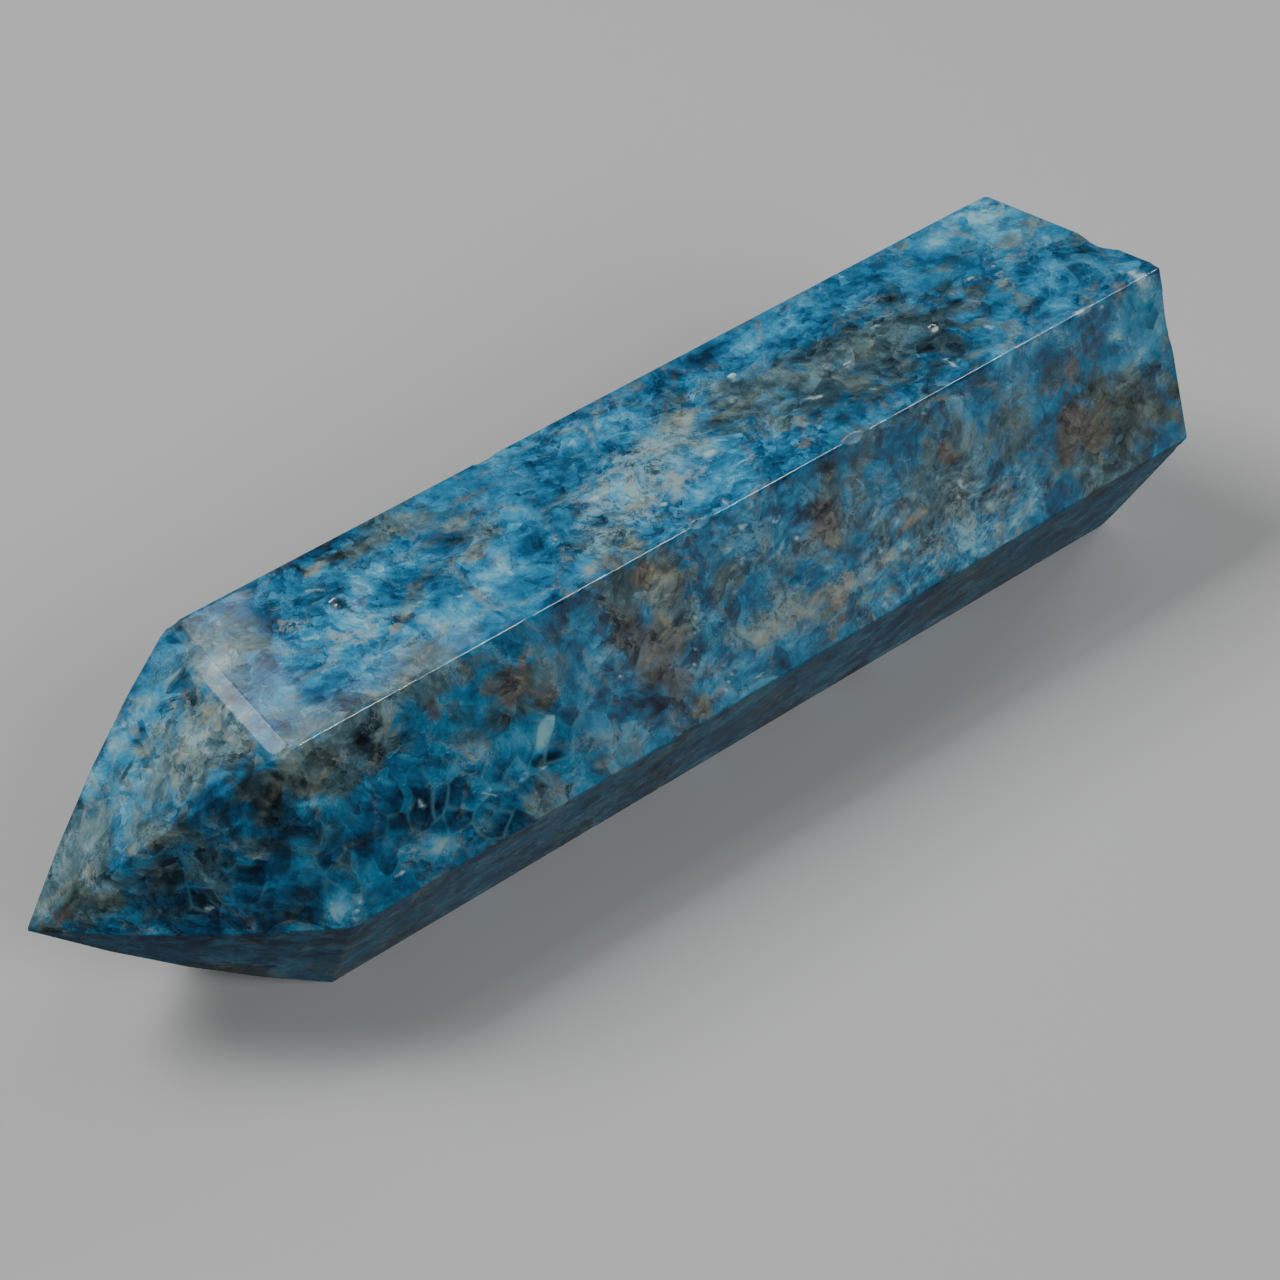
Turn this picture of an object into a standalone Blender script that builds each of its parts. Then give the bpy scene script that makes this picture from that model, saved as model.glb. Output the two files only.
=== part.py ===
# Apatite tower: one piece of massive blue apatite, ground to a six-sided prism with a six-sided point.
# It lies on one of its long facets. X runs along the stone, with the point at -X and the flat base at +X.
# Z is up, and the origin is under the middle of the stone, on the surface that it rests on.

import math

import bmesh
import bpy
from mathutils import Vector

MM = 0.001
SAME_PLACE = 0.02 * MM

# The stone along its axis, measured from the shoulder, where the long facets end and the point begins.
BODY_LENGTH = 72.0 * MM
TIP_LENGTH = 17.1 * MM
TIP_OFF_AXIS = (0.1 * MM, 0.1 * MM)
TIP_WEAR = 0.12 * MM
TIP_WEAR_FACING = (-1.0, 0.0, 0.1)

# The point's facets are a little rounded along their length, as hand polishing leaves them. Halfway to the apex
# they stand out by this share of the section's size, and each is ground in this many steps.
TIP_CROWN = 0.055
TIP_STEPS = 4

# The six corners of the section, as (Y, Z) from the axis. Hand grinding left them a little uneven.
SECTION = {
    "top_back": (7.3 * MM, 11.9 * MM),
    "top_front": (-7.85 * MM, 12.3 * MM),
    "front": (-13.25 * MM, 0.05 * MM),
    "bottom_front": (-7.25 * MM, -12.15 * MM),
    "bottom_back": (6.9 * MM, -12.15 * MM),
    "back": (13.5 * MM, 0.3 * MM),
}

# The base is sawn off square: it reaches furthest along at the front and at the top.
BASE_LEAN_Y = math.radians(13.8)
BASE_LEAN_Z = math.radians(-7.7)
BASE_RIM = 0.40 * MM

# A narrow extra facet softens the shoulder between the top facet and the point.
SHOULDER_REACH = 0.75 * MM
SHOULDER_TILT = math.radians(14.0)
SHOULDER_LEAN = math.radians(1.5)

# The narrow polished break on every edge that is sharper than this angle.
EDGE_BREAK = 0.22 * MM
EDGE_SEGMENTS = 2
EDGE_ANGLE = math.radians(4.0)

# Facets knocked off at the base's corners, each as three points on it, from the middle of the shoulder.
CORNER_FACETS = {
    "top_back_corner": ((66.0, 7.3, 11.9), (72.3, 3.4, 12.03), (71.3, 7.3, 11.80)),
    "bottom_back_corner": ((65.4, 6.9, -12.15), (68.5, 4.6, -12.15), (67.9, 8.6, -9.2)),
    "front_corner": ((74.9, -7.9, 12.3), (73.75, -13.3, 0.0), (71.85, -7.5, -12.15)),
}

# Shell-shaped chips: where each bites, the way it faces, the radius of its curve, and its depth.
CHIP_DIVISIONS = 4
CHIPS = {
    "window_chip": ((72.2, -9.5, 8.6), (0.06, -0.91, 0.41), 14.0, 0.36),
    "window_chip_low": ((74.4, -11.4, 5.0), (0.78, -0.60, 0.20), 3.0, 0.22),
    "rim_chip_front": ((73.6, -12.7, -2.0), (0.80, -0.60, -0.10), 3.2, 0.40),
    "rim_chip_top": ((73.6, -2.2, 12.1), (0.72, 0.10, 0.69), 4.0, 0.35),
    "rim_chip_back": ((69.1, 11.5, 4.0), (0.70, 0.65, 0.30), 4.5, 0.60),
    "rim_chip_low": ((68.0, 10.1, -6.6), (0.75, 0.55, -0.36), 3.0, 0.40),
    "ridge_nick_long": ((46.3, -7.85, 12.3), (0.0, -0.50, 0.87), 1.6, 0.30),
    "ridge_nick_short": ((32.8, -7.85, 12.3), (0.1, -0.45, 0.89), 1.1, 0.24),
    "back_ridge_nick": ((25.5, 7.3, 11.9), (0.0, 0.55, 0.84), 1.8, 0.30),
    "shoulder_nick": ((0.3, 7.2, 11.8), (-0.35, 0.45, 0.82), 1.5, 0.28),
}

# Pits that the polishing left in the long facets: where each is, the facet's facing, its radius and its depth.
PIT_DIVISIONS = 3
TOP = (0.0, 0.03, 1.0)
FRONT = (0.0, -0.915, 0.403)
BACK = (0.0, 0.882, 0.471)
PITS = {
    "dark_pit": ((9.9, 1.5, 12.05), TOP, 0.75, 0.30),
    "dark_pit_tail": ((11.0, 0.75, 12.08), TOP, 0.45, 0.16),
    "bright_pit": ((44.0, 2.7, 12.02), TOP, 0.55, 0.22),
    "small_pit": ((50.9, -1.6, 12.13), TOP, 0.40, 0.15),
    "twin_pit": ((49.6, -0.7, 12.11), TOP, 0.36, 0.13),
    "far_pit": ((58.1, -2.5, 12.16), TOP, 0.50, 0.20),
    "end_pit": ((65.8, -0.9, 12.12), TOP, 0.45, 0.16),
    "front_pit": ((38.6, -10.9, 5.4), FRONT, 0.60, 0.20),
    "front_pit_small": ((52.4, -11.8, 3.3), FRONT, 0.45, 0.15),
    "back_pit": ((20.4, 9.9, 7.0), BACK, 0.65, 0.22),
    "back_pit_small": ((55.3, 11.4, 4.3), BACK, 0.50, 0.18),
}


def station(along, corner):
    """The point on one long edge of the prism, at a distance along the stone."""
    return Vector((along, *SECTION[corner]))


def grind(stone, point, normal):
    """Removes all that lies outside a plane, and closes the flat facet that is left."""
    everything = stone.verts[:] + stone.edges[:] + stone.faces[:]
    cut = bmesh.ops.bisect_plane(stone, geom=everything, plane_co=point, plane_no=normal, clear_outer=True)
    rim = [edge for edge in cut["geom_cut"] if isinstance(edge, bmesh.types.BMEdge)]
    bmesh.ops.contextual_create(stone, geom=rim)


def grind_through(stone, a, b, c):
    """Grinds the facet that passes through three points, keeping the side that the stone's middle is on."""
    normal = (b - a).cross(c - a).normalized()
    middle = Vector((BODY_LENGTH / 2, 0, 0))
    if (middle - a).dot(normal) > 0:
        normal.negate()
    grind(stone, a, normal)


def rough_block():
    """A sawn block that is a little larger than the finished stone on every side."""
    spare = 2 * MM
    length = BODY_LENGTH + TIP_LENGTH + 4 * spare
    across = 2 * max(max(abs(y), abs(z)) for y, z in SECTION.values()) + 2 * spare
    stone = bmesh.new()
    bmesh.ops.create_cube(stone, size=1)
    bmesh.ops.scale(stone, verts=stone.verts, vec=(length, across, across))
    bmesh.ops.translate(stone, verts=stone.verts, vec=((BODY_LENGTH - TIP_LENGTH) / 2, 0, 0))
    return stone


def on_point(share, corner):
    """The point on one sloping edge of the tip, at a share of the way from the shoulder to the apex."""
    apex = Vector((-TIP_LENGTH, *TIP_OFF_AXIS))
    straight = station(0, corner).lerp(apex, share)
    return straight + station(0, corner) * TIP_CROWN * 4 * share * (1 - share)


def grind_sides_and_point(stone):
    corners = list(SECTION)
    for corner, following in zip(corners, corners[1:] + corners[:1]):
        near, beside = station(0, corner), station(0, following)
        grind_through(stone, near, beside, station(BODY_LENGTH, corner))
        for step in range(TIP_STEPS):
            start, end = step / TIP_STEPS, (step + 1) / TIP_STEPS
            grind_through(stone, on_point(start, corner), on_point(start, following), on_point(end, corner))


def grind_base(stone):
    """The base, then a narrow slope between it and each long facet."""
    centre = Vector((BODY_LENGTH, 0, 0))
    outward = Vector((1, math.tan(BASE_LEAN_Y), math.tan(BASE_LEAN_Z))).normalized()
    grind(stone, centre, outward)
    corners = list(SECTION)
    for corner, following in zip(corners, corners[1:] + corners[:1]):
        side = station(0, following) - station(0, corner)
        facing = Vector((0, side.z, -side.y)).normalized()
        if facing.dot(station(0, corner)) < 0:
            facing.negate()
        edge = station(BODY_LENGTH, corner)
        edge.x = BODY_LENGTH - (edge.y * outward.y + edge.z * outward.z) / outward.x
        slope = (facing + outward).normalized()
        grind(stone, edge - slope * BASE_RIM, slope)


def grind_small_facets(stone):
    """The softened shoulder, the worn apex and the corners knocked off the base."""
    shoulder = station(0, "top_front") + Vector((SHOULDER_REACH, 0, 0))
    facing = Vector((-math.sin(SHOULDER_TILT), math.sin(SHOULDER_LEAN), math.cos(SHOULDER_TILT)))
    grind(stone, shoulder, facing)
    grind(stone, Vector((TIP_WEAR - TIP_LENGTH, *TIP_OFF_AXIS)), Vector(TIP_WEAR_FACING))
    for points in CORNER_FACETS.values():
        grind_through(stone, *(Vector(point) * MM for point in points))


def make_material():
    material = bpy.data.materials.new("blue_apatite")
    material.use_nodes = True
    shader = material.node_tree.nodes["Principled BSDF"]
    shader.inputs["Base Color"].default_value = (0.035, 0.20, 0.36, 1)
    shader.inputs["Roughness"].default_value = 0.15
    shader.inputs["Metallic"].default_value = 0
    return material


def make_stone(collection):
    stone = rough_block()
    grind_sides_and_point(stone)
    grind_base(stone)
    grind_small_facets(stone)
    bmesh.ops.remove_doubles(stone, verts=stone.verts, dist=SAME_PLACE)
    bmesh.ops.recalc_face_normals(stone, faces=stone.faces)
    mesh = bpy.data.meshes.new("apatite_tower")
    stone.to_mesh(mesh)
    stone.free()
    mesh.materials.append(make_material())
    tower = bpy.data.objects.new("apatite_tower", mesh)
    collection.objects.link(tower)
    edges = tower.modifiers.new("polished edges", "BEVEL")
    edges.width = EDGE_BREAK
    edges.segments = EDGE_SEGMENTS
    edges.limit_method = "ANGLE"
    edges.angle_limit = EDGE_ANGLE
    return tower


def bite(tower, cutters, divisions, name, at, facing, radius, depth):
    """Takes a shell-shaped hollow out of the stone: part of a ball that reaches the depth below the surface."""
    ball = bmesh.new()
    bmesh.ops.create_icosphere(ball, subdivisions=divisions, radius=radius * MM)
    mesh = bpy.data.meshes.new(name)
    ball.to_mesh(mesh)
    ball.free()
    cutter = bpy.data.objects.new(name, mesh)
    outward = Vector(facing).normalized()
    cutter.location = (Vector(at) + outward * (radius - depth)) * MM
    cutter.rotation_euler = outward.to_track_quat("Z", "Y").to_euler()
    cutter.display_type = "WIRE"
    cutter.hide_render = True
    cutters.objects.link(cutter)
    chip = tower.modifiers.new(name, "BOOLEAN")
    chip.operation = "DIFFERENCE"
    chip.object = cutter
    return cutter


def put_origin_under_middle(tower, cutters):
    """Moves the stone and its cutters so that the origin is at the bottom, under the middle."""
    bpy.context.view_layer.update()
    corners = [tower.matrix_world @ Vector(corner) for corner in tower.bound_box]
    low = Vector(min(corner[axis] for corner in corners) for axis in range(3))
    high = Vector(max(corner[axis] for corner in corners) for axis in range(3))
    middle = (low + high) / 2
    for piece in [tower, *cutters]:
        piece.location -= Vector((middle.x, middle.y, low.z))


def main():
    for old in list(bpy.data.objects):
        bpy.data.objects.remove(old)
    stones = bpy.data.collections.new("apatite tower")
    cutters = bpy.data.collections.new("chips and pits")
    bpy.context.scene.collection.children.link(stones)
    bpy.context.scene.collection.children.link(cutters)
    tower = make_stone(stones)
    chips = [bite(tower, cutters, CHIP_DIVISIONS, name, *values) for name, values in CHIPS.items()]
    pits = [bite(tower, cutters, PIT_DIVISIONS, name, *values) for name, values in PITS.items()]
    put_origin_under_middle(tower, chips + pits)


main()
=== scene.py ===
# %% [markdown]
# # A polished apatite point
# The stone is one piece of massive blue apatite, ground by hand to a six-sided prism with a six-sided
# point. This lesson dresses a plain faceted solid so that it reads as stone: a finer surface with gently
# wavy facets, worn edges and rough chips, and one layered material. The stone's sizes are in millimetres,
# and MM turns them into Blender's metres. The studio's are in metres.

# %% Load the frame
import math
import random

import bmesh
import bpy
import numpy as np
from mathutils import Matrix, Vector, noise
from mathutils.bvhtree import BVHTree


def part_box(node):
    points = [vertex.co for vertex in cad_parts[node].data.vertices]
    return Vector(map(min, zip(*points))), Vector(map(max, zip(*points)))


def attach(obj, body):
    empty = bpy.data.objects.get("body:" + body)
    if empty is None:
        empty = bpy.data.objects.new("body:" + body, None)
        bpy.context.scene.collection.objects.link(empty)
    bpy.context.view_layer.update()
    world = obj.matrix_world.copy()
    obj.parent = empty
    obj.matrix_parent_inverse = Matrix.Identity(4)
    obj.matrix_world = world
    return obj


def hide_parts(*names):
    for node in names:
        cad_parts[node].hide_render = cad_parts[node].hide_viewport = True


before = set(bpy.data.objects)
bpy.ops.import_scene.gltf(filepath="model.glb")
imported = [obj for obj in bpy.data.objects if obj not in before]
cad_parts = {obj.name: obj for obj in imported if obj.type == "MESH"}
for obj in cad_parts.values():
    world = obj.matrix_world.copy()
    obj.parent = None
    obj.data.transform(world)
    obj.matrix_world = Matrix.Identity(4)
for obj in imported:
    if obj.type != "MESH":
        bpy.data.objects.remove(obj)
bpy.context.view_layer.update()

MM = 0.001
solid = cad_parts["apatite_tower"]
low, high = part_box("apatite_tower")
print("the solid measures", [round((b - a) / MM, 1) for a, b in zip(low, high)], "mm")

# %% [markdown]
# ## The camera
# The photograph looks down on the stone from the front and a little from the point's side, with a long
# lens. A camera can be aimed by hand or by a tracking constraint. Here its place, its view direction and
# its up direction are plain vectors, because two directions fix the roll as well and leave nothing to
# chance.

# %% Make the camera
CAMERA_AT = Vector((-73.23, -122.43, 156.74)) * MM
VIEW = Vector((0.36841, 0.58842, -0.71975)).normalized()
UP = Vector((0.45934, 0.55789, 0.69121))
LENS = 79.61
SENSOR = 36.0
PHOTO_SIZE = 1280

lens = bpy.data.cameras.new("camera")
lens.sensor_fit = "HORIZONTAL"
lens.sensor_width = SENSOR
lens.lens = LENS
lens.clip_start = 0.01
camera = bpy.data.objects.new("camera", lens)
RIGHT = VIEW.cross(UP).normalized()
UPWARD = RIGHT.cross(VIEW)
camera.matrix_world = Matrix.Translation(CAMERA_AT) @ Matrix((RIGHT, UPWARD, -VIEW)).transposed().to_4x4()
bpy.context.scene.collection.objects.link(camera)
bpy.context.scene.camera = camera
print("the camera looks down by", round(math.degrees(math.asin(-VIEW.z)), 1), "degrees")

# %% [markdown]
# ## The floor and the light
# A plain pale floor and a few soft lights stand in for the photograph's table and windows. A polished stone
# shows its lights as reflections, so each light is placed by what it does. The key light stands behind the
# stone and lights it, the front light lifts the front facets, and the base light the sawn end. These three
# give no glare. The other lights are the other way round: they are seen only as reflections. The narrow
# polished edge mirrors the ridge light, which is the thin bright line in the photograph; that light hangs
# far off, out of the top facet's sight. The near end of the top facet mirrors the window and sheen lights
# as a pale veil, and the small facet at its end the shoulder light. The low light is mirrored faintly in
# the front. The paper is kept out of the mirror images and throws no light back on the stone, because the
# table in the photograph is dark. Past the paper the studio is dim, as the stone sees it, but the camera
# sees it as a pale wall.

# %% Make the floor
FLOOR_SIZE = 1.3
PAPER_GREY = (0.56, 0.56, 0.56, 1)
PAPER_ROUGH = 0.9

floor_shape = bmesh.new()
bmesh.ops.create_grid(floor_shape, x_segments=1, y_segments=1, size=FLOOR_SIZE / 2)
plate = bpy.data.meshes.new("floor")
floor_shape.to_mesh(plate)
floor_shape.free()
floor = bpy.data.objects.new("floor", plate)
bpy.context.scene.collection.objects.link(floor)
paper = bpy.data.materials.new("pale paper")
paper.use_nodes = True
paper_skin = paper.node_tree.nodes["Principled BSDF"].inputs
paper_skin["Base Color"].default_value = PAPER_GREY
paper_skin["Roughness"].default_value = PAPER_ROUGH
plate.materials.append(paper)
floor.visible_glossy = False
floor.visible_diffuse = False
print("the paper is", FLOOR_SIZE, "m wide")

# %% Make the lights
STONE_MIDDLE = Vector((0, 0, high[2] / 2))
ALONG = Vector((1, 0, 0))


def soft_light(name, towards, distance, width, height, glow, lights=True, glares=True):
    """A rectangular light of a given radiance that faces the stone's middle, its width along the stone."""
    light = bpy.data.lights.new(name, "AREA")
    light.shape = "RECTANGLE"
    light.size = width
    light.size_y = height
    light.energy = glow * math.pi * width * height
    lamp = bpy.data.objects.new(name, light)
    lamp.visible_diffuse = lights
    lamp.visible_glossy = glares
    outward = Vector(towards).normalized()
    side = (ALONG - outward * ALONG.dot(outward)).normalized()
    turn = Matrix((side, outward.cross(side), outward)).transposed().to_4x4()
    lamp.matrix_world = Matrix.Translation(STONE_MIDDLE + outward * distance) @ turn
    bpy.context.scene.collection.objects.link(lamp)
    print(name, "gives", round(light.energy, 2), "W from", round(distance, 2), "m away")


soft_light("key light", (-0.38, 0.42, 0.82), 0.60, 0.26, 0.26, 11.8, glares=False)
soft_light("front light", (0.10, -0.80, 0.60), 0.90, 0.40, 0.40, 7.4, glares=False)
soft_light("base light", (0.93, 0.15, 0.33), 0.90, 0.40, 0.40, 4.0, glares=False)
soft_light("ridge light", (0.427, 0.121, 0.897), 1.575, 0.72, 0.14, 90.0, lights=False)
soft_light("window light", (0.152, 0.680, 0.717), 0.80, 0.125, 0.30, 1.7, lights=False)
soft_light("sheen light", (0.267, 0.639, 0.722), 0.82, 0.07, 0.056, 1.2, lights=False)
soft_light("shoulder light", (-0.148, 0.674, 0.724), 0.815, 0.10, 0.05, 4.0, lights=False)
soft_light("low light", (0.498, -0.866, -0.043), 0.92, 0.36, 0.30, 0.34, lights=False)

# %% Dim the studio
DIM = 0.065
PALE_WALL = 0.40
WALL_TINT = (0.96, 0.98, 1.0, 1)

world = bpy.data.worlds.new("studio")
world.use_nodes = True
studio = world.node_tree
seen = studio.nodes.new("ShaderNodeLightPath").outputs["Is Camera Ray"]
glow = studio.nodes.new("ShaderNodeMapRange")
studio.links.new(seen, glow.inputs["Value"])
glow.inputs["To Min"].default_value = DIM
glow.inputs["To Max"].default_value = PALE_WALL
studio.links.new(glow.outputs[0], studio.nodes["Background"].inputs["Strength"])
studio.nodes["Background"].inputs["Color"].default_value = WALL_TINT
bpy.context.scene.world = world
print("the studio gives", DIM, "and the camera sees", PALE_WALL)

# %% [markdown]
# ## The stone's fine surface
# The solid has the true shape, with flat facets, narrow polished edges, chips and pits, but its facets are
# a few long triangles, too coarse to be wavy or worn. A subdivision surface would melt the edges. Instead
# the facets are melted back to whole polygons and then sliced by planes, like bread: across the stone, and
# around it by planes through its long axis. Slicing keeps every edge where it is and gives small, nearly
# square cells. The narrow strips of the polished edges are marked first, because they are shaded flat, so
# that each mirrors its light as one thin line.

# %% Merge the solid and mark its broken surfaces
SAME_PLACE = 0.001 * MM
FLAT = math.radians(1.6)
SMALLEST_FACET = 1.5 * MM**2
WIDEST_STRIP = 0.12 * MM
SHORTEST_STRIP = 2 * MM

stone = bmesh.new()
stone.from_mesh(solid.data)
bmesh.ops.remove_doubles(stone, verts=stone.verts, dist=SAME_PLACE)
bmesh.ops.dissolve_limit(stone, angle_limit=FLAT, verts=stone.verts, edges=stone.edges)


def facing_of(face):
    return tuple(round(part, 2) for part in face.normal)


# The faces of a ground facet or of a polished edge all look one way. Those of a chip each look their own way.
areas = {}
for face in stone.faces:
    areas[facing_of(face)] = areas.get(facing_of(face), 0) + face.calc_area()
broken = stone.faces.layers.int.new("broken")
edge_strip = stone.faces.layers.int.new("edge_strip")
for face in stone.faces:
    longest = max(edge.calc_length() for edge in face.edges)
    face[edge_strip] = int(longest > SHORTEST_STRIP and face.calc_area() / longest < WIDEST_STRIP)
    face[broken] = int(not face[edge_strip] and areas[facing_of(face)] < SMALLEST_FACET)
print(len(stone.faces), "faces")
print(sum(face[broken] for face in stone.faces), "are in chips, pits and corners")
print(sum(face[edge_strip] for face in stone.faces), "are the narrow strips of the polished edges")

# %% Slice it into small cells
CELL = 0.42 * MM
ROUND_CUTS = 112
POINT_CUTS = 4
POINT_END = low[0] + 6 * MM
BASE_FACING = 0.9
AXIS_HEIGHT = 12.15 * MM


def slice_stone(place, facing, faces):
    """Cuts the given faces along a plane and keeps both sides."""
    edges = {edge for face in faces for edge in face.edges}
    corners = {corner for face in faces for corner in face.verts}
    bmesh.ops.bisect_plane(stone, geom=[*corners, *edges, *faces], plane_co=place, plane_no=facing)


for place in np.arange(low[0] + CELL, high[0], CELL):
    slice_stone((place, 0, 0), (1, 0, 0), stone.faces[:])
for cut in range(ROUND_CUTS):
    angle = math.pi * (cut + 0.5) / ROUND_CUTS
    start = low[0] if cut % POINT_CUTS == 0 else POINT_END
    around = [face for face in stone.faces if face.normal.x < BASE_FACING and face.verts[0].co.x > start]
    slice_stone((0, 0, AXIS_HEIGHT), (0, math.cos(angle), math.sin(angle)), around)
for side in (1, 2):
    facing = Vector((0, side == 1, side == 2))
    for place in np.arange(low[side] + CELL, high[side], CELL):
        slice_stone(facing * place, facing, [face for face in stone.faces if face.normal.x > BASE_FACING])
print(len(stone.faces), "cells")

# %% [markdown]
# ## Waves, wear and broken surfaces
# No facet that is polished by hand is quite flat: it waves by a few thousandths of a millimetre, which
# shows only in what it mirrors. Its edges are worn and nicked. A chip in apatite is a shell with fine
# ripples and a grainy skin. All of this is small against a cell, so moving the vertices along their normals
# is enough.

# %% Move the vertices
# Each of these three is a size in mm and a number of waves in a mm.
WAVE = (0.002, 0.10)
RIPPLE = (0.045, 0.9)
GRIT = (0.035, 2.6)
NICK = 0.20
NICKS_PER_MM = 0.42
NICK_SHARE = 0.80
DEEPEST_NICK = 0.02
EDGE_ANGLE = math.radians(9)
AT_REST = 0.02 * MM


def waves(place, size, per_mm, detail=3):
    """Smooth noise of a size in mm, at so many waves in a mm."""
    return size * noise.fractal(place / MM * per_mm, 1.0, 2.0, detail)


stone.normal_update()
shifts = []
roughness = []
for corner in stone.verts:
    faces = corner.link_faces
    spread = max((corner.normal.angle(face.normal, 0) for face in faces), default=0)
    in_break = sum(face[broken] for face in faces) / len(faces)
    shift = waves(corner.co, *WAVE)
    if in_break:
        shift += in_break * (waves(corner.co, *RIPPLE) + waves(corner.co, *GRIT))
    if spread > EDGE_ANGLE:
        bite = max(0.0, waves(corner.co, 1, NICKS_PER_MM, detail=4) - NICK_SHARE)
        shift -= min(bite * NICK, DEEPEST_NICK)
    shifts.append(min(shift, 0.0) * MM if corner.co.z < AT_REST else shift * MM)
    roughness.append(in_break)
for corner, shift in zip(stone.verts, shifts):
    corner.co += corner.normal * shift
for corner in stone.verts:
    for side in range(3):
        corner.co[side] = min(max(corner.co[side], low[side]), high[side])
print("moved by", round(min(shifts) / MM, 3), "to", round(max(shifts) / MM, 3), "mm")

# %% Make the piece
bmesh.ops.triangulate(stone, faces=[face for face in stone.faces if len(face.verts) > 4])
for face in stone.faces:
    face.smooth = not face[edge_strip]
mesh = bpy.data.meshes.new("polished_stone")
stone.to_mesh(mesh)
stone.free()
tower = bpy.data.objects.new("polished_stone", mesh)
bpy.context.scene.collection.objects.link(tower)
crisp = tower.modifiers.new("crisp facets", "WEIGHTED_NORMAL")
crisp.weight = 100
mesh.attributes.new("broken_skin", "FLOAT", "POINT").data.foreach_set("value", roughness)
print(len(mesh.vertices), "vertices,", sum(len(face.vertices) - 2 for face in mesh.polygons), "triangles")

# %% [markdown]
# ## Where the markings are
# The stone's inclusions were noted as places in the photograph, which is 1280 pixels wide, with real
# widths. A line of sight through a pixel meets the solid at one point. The two ends of a mark give its
# middle, its length and its direction on the facet. Each mark is an ellipsoid, so it goes on into the stone
# and comes out on the next facet as a real inclusion does. A BVH tree finds where a line of sight meets the
# solid.

# %% A helper that looks along a line of sight
sight = BVHTree.FromObject(solid, bpy.context.evaluated_depsgraph_get())


def seen_at(pixel):
    """The place in mm, and the facing, of the stone at a pixel, or beside it where the pixel just misses."""
    across = (pixel[0] / PHOTO_SIZE - 0.5) * SENSOR / LENS
    down = (pixel[1] / PHOTO_SIZE - 0.5) * SENSOR / LENS
    ray = (VIEW + RIGHT * across - UPWARD * down).normalized()
    place, facing, *_ = sight.ray_cast(CAMERA_AT, ray)
    if place is None:
        abreast = CAMERA_AT + ray * ray.dot(STONE_MIDDLE - CAMERA_AT)
        place, facing, *_ = sight.find_nearest(abreast)
    return place / MM, facing


print("the dark pit is at", [round(part, 1) for part in seen_at((337, 605))[0]], "mm")

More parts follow.
